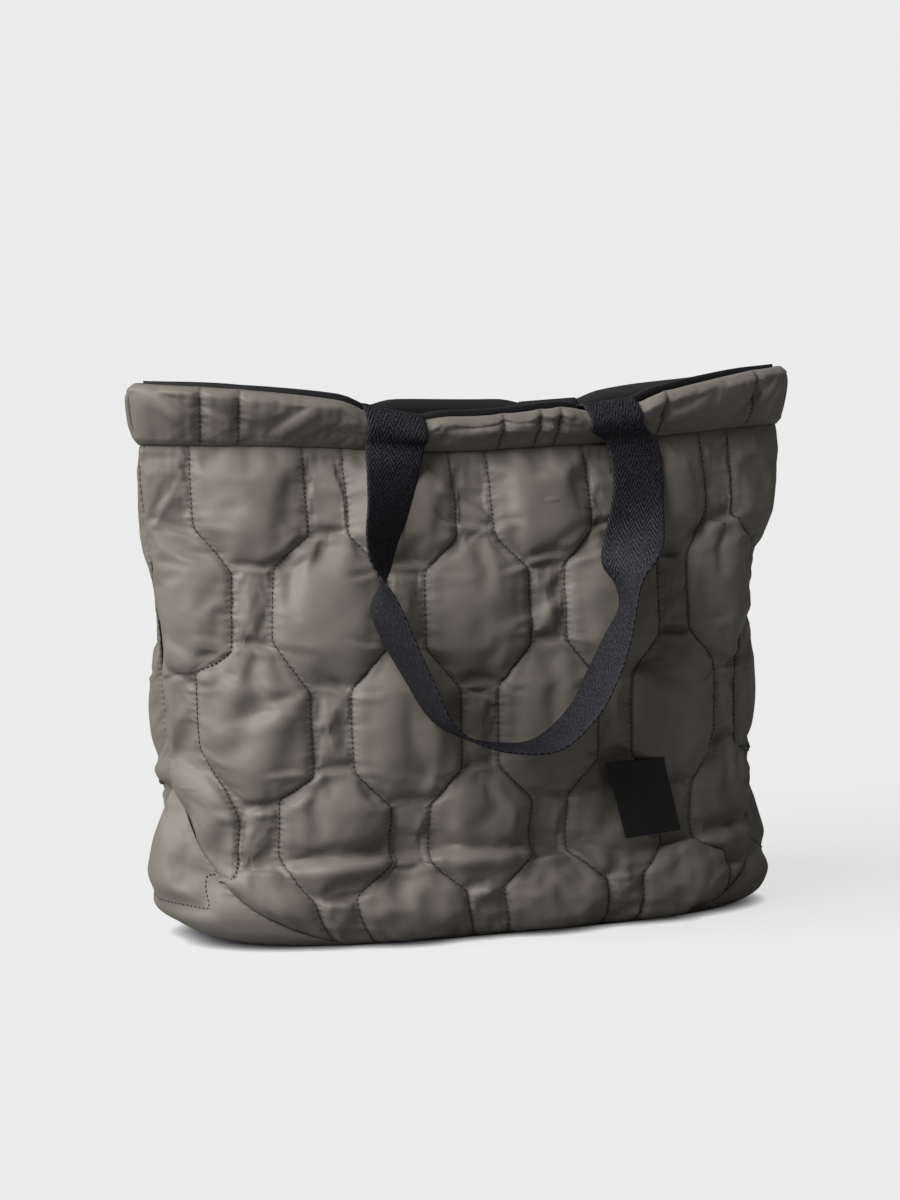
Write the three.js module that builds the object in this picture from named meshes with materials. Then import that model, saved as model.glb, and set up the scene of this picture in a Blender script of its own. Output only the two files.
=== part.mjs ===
// A soft quilted tote that stands open on its padded base, with two webbing handles.
// Millimetres, +Z up. X runs along the width, the front faces -Y, and the origin is on
// the ground under the middle of the bag.
import * as THREE from "three";

// Overall sizes of the standing bag, measured along the stitched lines.
const rimWidth = 446;
const rimHeight = 347;
const mouthDepth = 92;
const bodyWidth = 392;
const bodyDepth = 160;

// Padded cloth: its thickness along a stitched line, and how far a wide channel swells. The
// swelling is flat-topped below a roundness of 1 and fades out towards the ends of a channel.
const wall = 3;
const puff = 9;
const puffRoundness = 0.8;
const puffFade = 0.07;
const seamGap = 0.4;

// Rim band: a stuffed roll along the top edge, which sags between the side seams.
const bandHeight = 38;
const bandPuff = 10;
const bandEndPuff = 0.6;
const bandEndFade = 0.12;
const rimSag = 21;
const bandSag = 7;

// Base panel: its pointed ends turn up the sides. baseTip is the share of the climb where a
// point is cut off, and the panels' rows straighten above the seam by the power rowSettle.
const baseThickness = 6;
const baseRise = 98;
const baseReach = 112;
const baseSeam = 1.6;
const baseCurve = 1.6;
const basePuff = 13;
const basePuffRise = 0.6;
const baseTip = 0.94;
const rowSettle = 3;

// Lining: the thin inner bag. Its lip stands a little above the band. It closes up to the
// rim, and its pockets for the straps' tails open, between two shares of rimHeight.
const liningThickness = 1.2;
const liningGap = 3;
const liningLip = 1;
const liningClear = 1.15;
const rimGap = 0.7;
const rimGapFrom = 0.9;
const rimGapFull = 0.95;
const pocketFrom = 0.84;
const pocketFull = 0.9;

// Quilting: zigzag stitched lines that run down the panels. Neighbouring lines mirror
// each other, so the channels between them are by turns wide and narrow.
const quiltLines = 9;
const quiltPitch = 47;
const quiltSwing = 11.5;
const quiltEdge = 42;

// Handles: flat webbing. The tails are sewn in between the band and the lining.
const webbingWidth = 40;
const webbingThickness = 1.8;
const tailLength = 22;
const tailGap = 1.55;
const handlePlaces = [-0.317, 0.325];
const foldRise = 5.5;
const strapGap = 1.9;

// Where a handle's fold passes the band: the band's bulge that it clears over the rim, just
// below it and on the face, and how far down the face that last place is.
const foldOverBulge = 0.25;
const foldRimBulge = 0.72;
const foldFaceBulge = 0.95;
const foldFaceDrop = 0.22;

// Label: a bare patch sewn low on the front.
const labelWidth = 45;
const labelHeight = 50;
const labelThickness = 0.8;
const labelGap = 1.1;
const labelAlong = 0.372;
const labelLevel = 0.226;
const labelLean = -0.1;

// Columns in a channel, rows of a panel, and samples along one section.
const channelColumns = 4;
const panelRows = [0, 0.06, 0.12, 0.17, 0.235, 0.3, 0.355, 0.44, 0.52, 0.6, 0.68, 0.75, 0.82, 0.91, 1];
const baseEndStrips = 6;
const baseFloorStrips = 8;
const baseStripColumns = 12;
const bandColumns = 40;
const liningSegments = 20;
const handleColumns = 2;
const handleRowsPerStop = 2;
const labelCells = 6;
const sectionSamples = 240;

// Colours, read as plain paint values.
const taupe = new THREE.Color(0x7d7870);
const black = new THREE.Color(0x1b1b1d);
const webbingGrey = new THREE.Color(0x35353a);

// Sections of the bag from the ground to the rim. height is a share of rimHeight. flare goes
// from bodyWidth (0) to rimWidth (1) and gather from bodyDepth (0) to mouthDepth (1); front and
// back scale the half depths, and shift moves the section sideways by a share of bodyWidth.
// The section is |x|^bow + |y|^swell = 1: square corners at 3 and more, a pointed lens at 2
// and 1. pinch thickens the wall towards pointed side seams.
const sections = [
  { height: 0, flare: -1, gather: 0, front: 0.81, back: 0.81, bow: 2.8, swell: 2.8, pinch: 0, shift: 0 },
  { height: 0.02, flare: -0.5, gather: 0, front: 0.91, back: 0.91, bow: 2.9, swell: 2.9, pinch: 0, shift: 0 },
  { height: 0.08, flare: 0.02, gather: 0, front: 1, back: 1, bow: 2.9, swell: 2.9, pinch: 0, shift: -0.008 },
  { height: 0.165, flare: -0.02, gather: 0, front: 0.92, back: 0.96, bow: 2.7, swell: 2.7, pinch: 0, shift: -0.01 },
  { height: 0.25, flare: -0.08, gather: 0, front: 0.97, back: 1, bow: 2.6, swell: 2.5, pinch: 0, shift: -0.012 },
  { height: 0.4, flare: 0.06, gather: 0, front: 1, back: 1.04, bow: 2.4, swell: 2.3, pinch: 0.05, shift: -0.017 },
  { height: 0.55, flare: 0.25, gather: 0, front: 0.97, back: 1.02, bow: 2.3, swell: 2, pinch: 0.2, shift: -0.015 },
  { height: 0.7, flare: 0.58, gather: 0.3, front: 0.96, back: 1, bow: 2.15, swell: 1.6, pinch: 0.5, shift: -0.008 },
  { height: 0.8, flare: 0.88, gather: 0.62, front: 0.94, back: 0.96, bow: 2.05, swell: 1.3, pinch: 0.8, shift: -0.002 },
  { height: 0.9, flare: 1, gather: 1, front: 0.98, back: 0.92, bow: 2, swell: 1.15, pinch: 1, shift: 0 },
  { height: 1, flare: 1, gather: 1, front: 1.2, back: 1, bow: 2, swell: 1.1, pinch: 1, shift: 0 },
];

// Levels where the stitched lines turn, as shares of rimHeight. lean is which way the odd
// lines stand there: 1 to the left, -1 to the right.
const quiltLevels = [
  { height: 0.0, lean: 1 },
  { height: 0.095, lean: 1 },
  { height: 0.147, lean: -1 },
  { height: 0.256, lean: -1 },
  { height: 0.32, lean: 1 },
  { height: 0.467, lean: 1 },
  { height: 0.542, lean: -1 },
  { height: 0.677, lean: -1 },
  { height: 0.738, lean: 1 },
  { height: 1.0, lean: 1 },
];

// The band's swelling outwards, from its seam (0) to the rim (1).
const bandProfile = [
  { height: 0.0, bulge: 0.2 },
  { height: 0.12, bulge: 0.72 },
  { height: 0.35, bulge: 1.0 },
  { height: 0.62, bulge: 0.98 },
  { height: 0.86, bulge: 0.72 },
  { height: 1.0, bulge: 0.25 },
];

// Rows of the lining from the middle of the floor to the rim. spread is the share of the
// section's size.
const liningRows = [
  { height: 0.0, spread: 0.0 },
  { height: 0.0, spread: 0.5 },
  { height: 0.0, spread: 0.84 },
  { height: 0.03, spread: 1.0 },
  { height: 0.12, spread: 1.0 },
  { height: 0.24, spread: 1.0 },
  { height: 0.4, spread: 1.0 },
  { height: 0.55, spread: 1.0 },
  { height: 0.68, spread: 1.0 },
  { height: 0.78, spread: 1.0 },
  { height: 0.84, spread: 1.0 },
  { height: 0.9, spread: 1.0 },
  { height: 0.95, spread: 1.0 },
  { height: 1.0, spread: 1.0 },
];

// Sag of the rim between the left seam (-1) and the right (1), in the front and in the back.
const rimDips = [
  { along: -1, front: 0, back: 0 },
  { along: -0.72, front: 0.14, back: 0.06 },
  { along: -0.48, front: 0.42, back: 0.36 },
  { along: -0.3, front: 0.84, back: 0.72 },
  { along: -0.1, front: 1, back: 0.9 },
  { along: 0.15, front: 0.82, back: 0.97 },
  { along: 0.38, front: 0.68, back: 0.9 },
  { along: 0.58, front: 0.32, back: 0.6 },
  { along: 0.8, front: 0.06, back: 0.35 },
  { along: 1, front: 0, back: 0 },
];

// The hanging stretch of a handle, from the left end to the right. stand is the distance of
// the strap's middle from the cloth or the band, whichever swells further, in strap widths,
// and turn how far its face has turned in degrees: 0 flat, 90 edge on.
const handleHang = [
  { along: -0.322, height: 0.88, stand: 0.09, turn: 4 },
  { along: -0.339, height: 0.83, stand: 0.19, turn: 19 },
  { along: -0.365, height: 0.762, stand: 0.29, turn: 36 },
  { along: -0.394, height: 0.704, stand: 0.4, turn: 49 },
  { along: -0.401, height: 0.66, stand: 0.46, turn: 62 },
  { along: -0.397, height: 0.605, stand: 0.51, turn: 100 },
  { along: -0.367, height: 0.553, stand: 0.52, turn: 104 },
  { along: -0.318, height: 0.489, stand: 0.53, turn: 100 },
  { along: -0.249, height: 0.407, stand: 0.53, turn: 92 },
  { along: -0.163, height: 0.374, stand: 0.53, turn: 90 },
  { along: -0.076, height: 0.361, stand: 0.53, turn: 90 },
  { along: 0.032, height: 0.363, stand: 0.53, turn: 90 },
  { along: 0.138, height: 0.415, stand: 0.53, turn: 90 },
  { along: 0.198, height: 0.482, stand: 0.53, turn: 90 },
  { along: 0.237, height: 0.535, stand: 0.53, turn: 84 },
  { along: 0.271, height: 0.583, stand: 0.52, turn: 74 },
  { along: 0.281, height: 0.622, stand: 0.5, turn: 84 },
  { along: 0.3, height: 0.66, stand: 0.41, turn: 125 },
  { along: 0.334, height: 0.7, stand: 0.23, turn: 156 },
  { along: 0.36, height: 0.742, stand: 0.14, turn: 174 },
  { along: 0.38, height: 0.8, stand: 0.1, turn: 180 },
  { along: 0.378, height: 0.87, stand: 0.09, turn: 180 },
];

const { lerp, clamp, smoothstep } = THREE.MathUtils;
const panelWidth = 2 * quiltEdge + (quiltLines - 1) * quiltPitch;
const seamHeight = rimHeight - bandHeight;

// A column of a table at a place along it, on a smooth curve through the rows.
function tableAt(rows, key, place, column) {
  const last = rows.length - 1;
  const at = clamp(place, rows[0][key], rows[last][key]);
  const i = clamp(rows.findIndex((row) => row[key] >= at) - 1, 0, last - 1);
  const slope = (k) => {
    const before = rows[Math.max(k - 1, 0)];
    const after = rows[Math.min(k + 1, last)];
    return (after[column] - before[column]) / (after[key] - before[key]);
  };
  const span = rows[i + 1][key] - rows[i][key];
  const s = (at - rows[i][key]) / span;
  const ease = s * s * (3 - 2 * s);
  const bend = span * s * (1 - s) * ((1 - s) * slope(i) - s * slope(i + 1));
  return lerp(rows[i][column], rows[i + 1][column], ease) + bend;
}

// Half of one section, front (side -1) or back (side 1), inset by depth, as points from the
// left seam to the right with the length run so far.
const sectionStore = new Map();

function halfSection(side, z, depth) {
  const key = `${side} ${z.toFixed(3)} ${depth.toFixed(3)}`;
  if (sectionStore.has(key)) return sectionStore.get(key);
  const at = (column) => tableAt(sections, "height", z / rimHeight, column);
  const halfWidth = lerp(bodyWidth, rimWidth, at("flare")) / 2 - depth * (1 + 2 * at("pinch"));
  const share = side < 0 ? at("front") : at("back");
  const halfDepth = (share * lerp(bodyDepth, mouthDepth, at("gather"))) / 2 - depth;
  const middle = bodyWidth * at("shift");
  const points = [];
  let run = 0;
  for (let i = 0; i <= sectionSamples; i++) {
    const turn = (i / sectionSamples - 0.5) * Math.PI;
    const x = middle + Math.sign(turn) * halfWidth * Math.abs(Math.sin(turn)) ** (2 / at("bow"));
    const y = side * halfDepth * Math.abs(Math.cos(turn)) ** (2 / at("swell"));
    if (i > 0) run += Math.hypot(x - points[i - 1].x, y - points[i - 1].y);
    points.push({ x, y, run });
  }
  sectionStore.set(key, points);
  return points;
}

// A point of the bag's wall. along goes from the left seam (-1) to the right (1) by length,
// z is the height and depth how far inside the stitched surface it lies.
function wallPoint(side, along, z, depth) {
  const points = halfSection(side, z, depth);
  const wanted = ((clamp(along, -1, 1) + 1) / 2) * points[points.length - 1].run;
  let low = 0;
  let high = points.length - 1;
  while (high - low > 1) {
    const middle = (low + high) >> 1;
    if (points[middle].run <= wanted) low = middle;
    else high = middle;
  }
  const s = (wanted - points[low].run) / (points[high].run - points[low].run);
  const x = lerp(points[low].x, points[high].x, s);
  const y = lerp(points[low].y, points[high].y, s);
  return new THREE.Vector3(x, y, z);
}

// The outward direction of the stitched surface.
function wallNormal(side, along, z) {
  const step = 0.01;
  const rise = 2;
  const inner = clamp(along, step - 1, 1 - step);
  const across = wallPoint(side, inner + step, z, 0).sub(wallPoint(side, inner - step, z, 0));
  const upward = wallPoint(side, inner, z + rise, 0).sub(wallPoint(side, inner, z - rise, 0));
  return across.cross(upward).multiplyScalar(-side).normalize();
}

// Heights of the seams: the base seam climbs to a point at the side seams, the band seam
// and the rim sag between them.
function baseSeamHeight(along) {
  const run = ((1 - Math.abs(along)) * panelWidth) / 2;
  return baseRise * Math.max(0, 1 - run / baseReach) ** baseCurve;
}

function rimDip(side, along) {
  return tableAt(rimDips, "along", along, side < 0 ? "front" : "back");
}

function bandSeamHeight(side, along) {
  return seamHeight - bandSag * rimDip(side, along);
}

function rimLevel(side, along) {
  return rimHeight - rimSag * rimDip(side, along);
}

// How far a bottom edge is cut on the slant, most where it lies on the ground.
function edgeSlant(height) {
  return 1 - clamp(height / baseRise, 0, 1);
}

// A stitched line's place along the panel at a height; lines 0 and quiltLines + 1 are the
// side seams, which stay straight.
function quiltLineAt(line, z) {
  if (line === 0) return -1;
  if (line === quiltLines + 1) return 1;
  const lean = tableLinear(quiltLevels, z / rimHeight);
  const swing = (line % 2 === 1 ? -1 : 1) * lean * quiltSwing;
  return (2 * (quiltEdge + (line - 1) * quiltPitch + swing)) / panelWidth - 1;
}

function tableLinear(rows, height) {
  const i = Math.max(1, rows.findIndex((row) => row.height >= height));
  const s = (height - rows[i - 1].height) / (rows[i].height - rows[i - 1].height);
  return lerp(rows[i - 1].lean, rows[i].lean, clamp(s, 0, 1));
}

// A box whose faces are bent to a surface: place gives a point from across (0 to 1), up
// (0 to 1) and out (0 inside, 1 outside).
function bentBox(columns, rows, place) {
  const geometry = new THREE.BoxGeometry(1, 1, 1, columns, rows, 1);
  const position = geometry.attributes.position;
  for (let i = 0; i < position.count; i++) {
    const point = place(position.getX(i) + 0.5, position.getY(i) + 0.5, position.getZ(i) + 0.5);
    position.setXYZ(i, point.x, point.y, point.z);
  }
  geometry.deleteAttribute("uv");
  geometry.computeVertexNormals();
  return geometry;
}

// A quilted panel. Its columns follow the stitched lines and its rows their turns.
function quiltedPanel(side) {
  const channels = quiltLines + 1;
  const columns = channels * channelColumns;
  const rows = panelRows.length - 1;
  const widest = quiltPitch + 2 * quiltSwing;
  return bentBox(columns, rows, (across, up, out) => {
    const column = Math.round(across * columns);
    const channel = Math.min(Math.floor(column / channelColumns), channels - 1);
    const within = column / channelColumns - channel;
    const share = panelRows[Math.round(up * rows)];
    const lift = baseSeamHeight((2 * column) / columns - 1) * (1 - share) ** rowSettle;
    const level = share * seamHeight + lift;
    const left = quiltLineAt(channel, level);
    const right = quiltLineAt(channel + 1, level);
    const along = -side * lerp(left, right, within);
    const width = ((right - left) * panelWidth) / 2;
    const fade = smoothstep(share, 0, puffFade) * smoothstep(1 - share, 0, puffFade);
    const round = Math.sin(Math.PI * within) ** puffRoundness;
    const swell = puff * Math.min(1, width / widest) * round * fade;
    const depth = (1 - out) * wall;
    const bottom = baseSeamHeight(along);
    const low = bottom + baseSeam + depth * edgeSlant(bottom);
    const high = bandSeamHeight(side, along) - seamGap / 2;
    const z = lerp(low, high, clamp((level - bottom) / (seamHeight - bottom), 0, 1));
    const point = wallPoint(side, along, z, depth);
    point.addScaledVector(wallNormal(side, along, z), out * swell);
    point.y += (side * seamGap) / 2;
    return point;
  });
}

// The base panel: a floor, and pointed ends that climb the side seams as far as
// baseSeamHeight says. Its strips run from the back seam to the front seam.
function basePanel() {
  const columns = 2 * baseEndStrips + baseFloorStrips;
  const flat = 1 - (2 * baseReach) / panelWidth;
  const rim = (run, end, z, depth) => {
    const side = run > 0 ? 1 : -1;
    const point = wallPoint(side, end * (1 - (2 * Math.abs(run)) / panelWidth), z, depth);
    point.y += (side * Math.min(1, Math.abs(run)) * seamGap) / 2;
    return point;
  };
  const endStrip = (end, climb, up, depth, out) => {
    const height = baseRise * climb;
    const reach = baseReach * (1 - climb ** (1 / baseCurve)) - seamGap;
    const z = height + depth * edgeSlant(height);
    const point = rim(reach * (1 - 2 * up), end, z, depth);
    const round = Math.sin(Math.PI * up) * Math.sin(Math.PI * climb ** basePuffRise);
    point.x += end * out * basePuff * round;
    return point;
  };
  const floorPoint = (share, up, depth) => {
    const along = lerp(-flat, flat, share);
    const front = wallPoint(-1, along, depth, depth);
    const back = wallPoint(1, along, depth, depth);
    const point = back.lerp(front, up);
    for (const [end, weight] of [[-1, 1 - share], [1, share]]) {
      const arc = endStrip(end, 0, up, depth, 0);
      const chord = endStrip(end, 0, 0, depth, 0).lerp(endStrip(end, 0, 1, depth, 0), up);
      point.addScaledVector(arc.sub(chord), weight);
    }
    point.z = depth;
    return point;
  };
  return bentBox(columns, baseStripColumns, (across, up, out) => {
    const depth = (1 - out) * baseThickness;
    const column = Math.round(across * columns);
    const inEnd = Math.min(column, columns - column);
    if (inEnd < baseEndStrips) {
      const climb = baseTip * (1 - inEnd / baseEndStrips);
      return endStrip(column < columns / 2 ? -1 : 1, climb, up, depth, out);
    }
    return floorPoint((column - baseEndStrips) / baseFloorStrips, up, depth);
  });
}

// Half of the rim band: a roll that bulges outwards and leans over its seam.
function rimBand(side) {
  const rows = bandProfile.length - 1;
  return bentBox(bandColumns, rows, (across, up, out) => {
    const along = -side * (2 * across - 1);
    const row = bandProfile[Math.round(up * rows)];
    const z = lerp(bandSeamHeight(side, along) + seamGap / 2, rimLevel(side, along), row.height);
    const point = wallPoint(side, along, z, (1 - out) * wall);
    const fade = lerp(bandEndPuff, 1, smoothstep(1 - Math.abs(along), 0, bandEndFade));
    point.addScaledVector(wallNormal(side, along, z), out * bandPuff * row.bulge * fade);
    point.y += (side * seamGap) / 2;
    return point;
  });
}

// The lining: one thin bag from the floor to just above the rim. It follows the walls, and
// stands off further where a strap's tail comes in between.
function liningDepth(side, along, share) {
  const low = smoothstep(share * rimHeight, 0, baseRise * liningClear);
  const shell = lerp(baseThickness, wall, low);
  const gap = lerp(liningGap, rimGap, smoothstep(share, rimGapFrom, rimGapFull));
  const step = panelWidth / liningSegments;
  const room = handlePlaces.reduce((most, place) => {
    const apart = (Math.abs(place - along) * panelWidth) / 2 - webbingWidth / 2;
    return Math.max(most, 1 - smoothstep(apart, step, 2 * step));
  }, 0);
  const pocket = webbingThickness + 2 * tailGap - gap;
  return shell + gap + room * smoothstep(share, pocketFrom, pocketFull) * pocket;
}

function lining() {
  const floor = baseThickness + rimGap;
  const outside = liningRows.map((row) => ({ ...row, inner: 0 }));
  const inside = liningRows.map((row) => ({ ...row, inner: 1 })).reverse();
  const profile = [...outside, ...inside];
  const geometry = new THREE.LatheGeometry(
    profile.map((row) => new THREE.Vector2(row.spread, row.height)),
    liningSegments * 2,
  );
  const position = geometry.attributes.position;
  for (let i = 0; i < position.count; i++) {
    const segment = Math.floor(i / profile.length) % (liningSegments * 2);
    const row = profile[i % profile.length];
    const side = segment < liningSegments ? -1 : 1;
    const run = (segment % liningSegments) / liningSegments;
    const along = side < 0 ? lerp(-1, 1, run) : lerp(1, -1, run);
    const top = rimLevel(side, along) + liningLip;
    const z = lerp(floor + row.inner * liningThickness, top, row.height);
    const depth = liningDepth(side, along, row.height) + row.inner * liningThickness;
    const point = wallPoint(side, along, z, depth);
    position.setXYZ(i, point.x * row.spread, point.y * row.spread, point.z);
  }
  geometry.deleteAttribute("uv");
  geometry.computeVertexNormals();
  return geometry;
}

// A mesh with its name and a plain material of its own.
function named(name, geometry, colour, roughness) {
  const material = new THREE.MeshStandardMaterial({ color: colour, roughness, metalness: 0 });
  const mesh = new THREE.Mesh(geometry, material);
  mesh.name = name;
  return mesh;
}

// A handle: a flat strap whose sewn tails stand inside the band, that folds over the rim and
// hangs down. Each stop has a middle and the direction across the strap.
function handleStops(side) {
  const half = webbingThickness / 2;
  const inside = -(wall + tailGap + half);
  const outside = (share) => bandPuff * share + strapGap + half;
  const stop = (along, z, stand, turn, slope) => {
    const normal = wallNormal(side, along, z);
    const middle = wallPoint(side, along, z, Math.max(0, -stand));
    middle.addScaledVector(normal, Math.max(0, stand));
    const flat = new THREE.Vector3(side * normal.y, -side * normal.x, slope).normalize();
    const angle = THREE.MathUtils.degToRad(turn);
    const across = flat.multiplyScalar(Math.cos(angle)).addScaledVector(normal, -Math.sin(angle));
    return { middle, across };
  };
  const fold = (place, turn) => {
    const step = webbingWidth / panelWidth;
    const slope = (rimLevel(side, place + step) - rimLevel(side, place - step)) / webbingWidth;
    const over = lerp(inside, outside(foldOverBulge), 0.5);
    const rows = [
      { stand: inside, drop: tailLength },
      { stand: inside, drop: tailLength / 2 },
      { stand: inside, drop: -webbingThickness },
      { stand: over, drop: -foldRise },
      { stand: outside(foldRimBulge), drop: webbingThickness },
      { stand: outside(foldFaceBulge), drop: bandHeight * foldFaceDrop },
    ];
    return rows.map((row) => stop(place, rimLevel(side, place) - row.drop, row.stand, turn, slope));
  };
  const swollen = Math.max(puff, bandPuff);
  const hanging = handleHang.map((row) =>
    stop(row.along, row.height * rimHeight, swollen + row.stand * webbingWidth, row.turn, 0),
  );
  return [...fold(handlePlaces[0], 0), ...hanging, ...fold(handlePlaces[1], 180).reverse()];
}

function handle(side) {
  const stops = handleStops(side);
  const route = new THREE.CatmullRomCurve3(stops.map((stop) => stop.middle), false, "centripetal");
  const spread = new THREE.CatmullRomCurve3(stops.map((stop) => stop.across), false, "catmullrom");
  const rows = (stops.length - 1) * handleRowsPerStop;
  return bentBox(handleColumns, rows, (across, up, out) => {
    const middle = route.getPoint(up);
    const tangent = route.getTangent(up);
    const width = spread.getPoint(up).normalize();
    const normal = width.clone().cross(tangent).normalize();
    middle.addScaledVector(width, (across - 0.5) * webbingWidth);
    return middle.addScaledVector(normal, (out - 0.5) * webbingThickness);
  });
}

// The label, laid over the quilting low on the front.
function label() {
  return bentBox(labelCells, labelCells, (across, up, out) => {
    const x = (across - 0.5) * labelWidth;
    const rise = (up - 0.5) * labelHeight;
    const along = labelAlong + (2 * (x + rise * labelLean)) / panelWidth;
    const z = labelLevel * rimHeight + rise;
    const point = wallPoint(-1, along, z, 0);
    const stand = puff + labelGap + out * labelThickness;
    return point.addScaledVector(wallNormal(-1, along, z), stand);
  });
}

const bag = new THREE.Group();
bag.add(named("front_panel", quiltedPanel(-1), taupe, 0.6));
bag.add(named("back_panel", quiltedPanel(1), taupe, 0.6));
bag.add(named("base_panel", basePanel(), taupe, 0.6));
bag.add(named("front_band", rimBand(-1), taupe, 0.6));
bag.add(named("back_band", rimBand(1), taupe, 0.6));
bag.add(named("lining", lining(), black, 0.9));
bag.add(named("front_handle", handle(-1), webbingGrey, 0.8));
bag.add(named("back_handle", handle(1), webbingGrey, 0.8));
bag.add(named("label", label(), black, 0.7));

// Stand the bag over the origin.
const box = new THREE.Box3().setFromObject(bag);
const middle = box.getCenter(new THREE.Vector3());
bag.position.set(-middle.x, -middle.y, -box.min.z);

export default bag;
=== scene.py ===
# The looks of a soft quilted tote that stands open on its padded base.
# Metres, +Z up. X runs along the width, and the front faces -Y.
import math
from collections import namedtuple

import bmesh
import bpy
import numpy as np
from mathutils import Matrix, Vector
from mathutils.bvhtree import BVHTree


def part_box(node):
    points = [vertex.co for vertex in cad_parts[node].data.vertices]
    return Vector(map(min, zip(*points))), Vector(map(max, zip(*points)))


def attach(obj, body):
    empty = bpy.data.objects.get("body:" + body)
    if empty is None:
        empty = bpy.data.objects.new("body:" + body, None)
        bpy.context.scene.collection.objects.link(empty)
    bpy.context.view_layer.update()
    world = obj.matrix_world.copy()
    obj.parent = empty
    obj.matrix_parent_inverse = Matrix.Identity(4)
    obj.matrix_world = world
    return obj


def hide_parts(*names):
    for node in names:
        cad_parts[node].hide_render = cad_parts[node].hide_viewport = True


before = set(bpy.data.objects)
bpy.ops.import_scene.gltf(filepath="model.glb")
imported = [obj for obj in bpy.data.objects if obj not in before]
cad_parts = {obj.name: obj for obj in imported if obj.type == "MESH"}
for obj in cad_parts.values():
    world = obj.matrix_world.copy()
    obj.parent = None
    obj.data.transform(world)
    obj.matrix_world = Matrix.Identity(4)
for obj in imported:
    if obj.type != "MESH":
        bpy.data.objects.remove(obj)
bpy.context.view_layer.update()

bl_info = {
    "name": "Quilted tote",
    "version": (1, 0, 0),
    "blender": (4, 5, 0),
    "location": "View3D > Sidebar > Quilted tote",
    "description": "Dresses a soft quilted tote: padded cloth, rim band, webbing handles and label",
    "category": "Add Mesh",
}

# Boxes of the solids that the soft pieces stand for.
FRONT_BAND_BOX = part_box("front_band")
BACK_BAND_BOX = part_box("back_band")
RIM_HEIGHT = FRONT_BAND_BOX[1].z
SEAM_PLANE = (FRONT_BAND_BOX[1].y + BACK_BAND_BOX[0].y) / 2

# Overall sizes along the stitched lines.
RIM_WIDTH = 0.446
MOUTH_DEPTH = 0.092
BODY_WIDTH = 0.392
BODY_DEPTH = 0.16
BAND_HEIGHT = 0.038
SEAM_HEIGHT = RIM_HEIGHT - BAND_HEIGHT
WALL = 0.003
LINING_CLOTH = 0.0014
RIM_SAG = 0.021
BAND_SAG = 0.007
BASE_THICKNESS = 0.006
BASE_RISE = 0.098
BASE_REACH = 0.112
SEAM_TUCK = 0.0015
BASE_CURVE = 1.6
BASE_TIP = 0.97

# The stitched line of an end of the base: how far it has climbed, and its place from the back
# seam (0) to the front one (1).
BaseStitch = namedtuple("BaseStitch", "climb across")
BASE_STITCHES = [
    BaseStitch(0.46, 0.04),
    BaseStitch(0.33, 0.3),
    BaseStitch(0.26, 0.805),
    BaseStitch(0.47, 0.92),
    BaseStitch(0.48, 0.99),
]

# Quilting: stitched zigzag lines that run down the panels.
QUILT_LINES = 9
QUILT_PITCH = 0.047
QUILT_SWING = 0.0115
QUILT_EDGE = 0.042
CHANNELS = QUILT_LINES + 1
WIDEST_CHANNEL = QUILT_PITCH + 2 * QUILT_SWING
PANEL_WIDTH = 2 * QUILT_EDGE + (QUILT_LINES - 1) * QUILT_PITCH
HEM_FADE = 0.024

# Stitched lines across the band, from the left seam. The third and the seventh are hidden by a
# strap, so their places are guesses.
BAND_STITCHES = (0.038, 0.061, 0.148, 0.228, 0.253, 0.267, 0.321, 0.345, 0.423)
BAND_PULL = 0.68
BAND_PULL_REACH = 0.007
STITCH_COVER = 0.72

# Handles: flat webbing, sewn in between the band and the lining.
WEBBING_WIDTH = 0.04
WEBBING_THICKNESS = 0.0018
TAIL_LENGTH = 0.022
TAIL_GAP = 0.00155
STRAP_GAP = 0.0019
FOLD_RISE = 0.003
FOLD_DIP = 0.0045
FOLD_REACH = 0.026
HANDLE_PLACES = (-0.317, 0.325)

# Label: a bare patch sewn low on the front.
LABEL_WIDTH = 0.046
LABEL_HEIGHT = 0.049
LABEL_ALONG = 0.38
LABEL_LEVEL = 0.24
LABEL_LEAN = -0.33
LABEL_CLOTH = 0.0008
LABEL_GAP = 0.0009
LABEL_GIVE = 0.25
LABEL_SEARCH = 0.03

# Sections from the ground to the rim, as shares: the outline is |x|^bow + |y|^swell = 1.
Section = namedtuple("Section", "height flare gather front back bow swell shift")
SECTIONS = [
    Section(0.0, -0.72, 0, 0.83, 0.81, 3.2, 2.9, 0.014),
    Section(0.02, -0.32, 0, 0.92, 0.91, 3.2, 3, 0.01),
    Section(0.08, 0.02, 0, 1, 1, 3, 2.9, -0.004),
    Section(0.165, -0.02, 0, 0.92, 0.96, 2.7, 2.7, -0.01),
    Section(0.25, -0.08, 0, 0.97, 1, 2.6, 2.5, -0.012),
    Section(0.4, 0.06, 0, 1, 1.04, 2.4, 2.3, -0.017),
    Section(0.55, 0.25, 0, 0.97, 1.02, 2.3, 2, -0.015),
    Section(0.7, 0.58, 0.3, 0.96, 1, 2.15, 1.6, -0.008),
    Section(0.8, 0.88, 0.62, 0.94, 0.96, 2.05, 1.3, -0.002),
    Section(0.9, 1, 1, 0.98, 0.92, 2, 1.15, 0),
    Section(1.0, 1, 1, 1.34, 1.08, 2, 1.1, 0),
]

# Levels where the stitched lines turn, and which way the odd lines stand there.
QuiltLevel = namedtuple("QuiltLevel", "height lean")
QUILT_LEVELS = [
    QuiltLevel(0.0, 1),
    QuiltLevel(0.095, 1),
    QuiltLevel(0.147, -1),
    QuiltLevel(0.256, -1),
    QuiltLevel(0.32, 1),
    QuiltLevel(0.467, 1),
    QuiltLevel(0.542, -1),
    QuiltLevel(0.677, -1),
    QuiltLevel(0.738, 1),
    QuiltLevel(1.0, 1),
]

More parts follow.
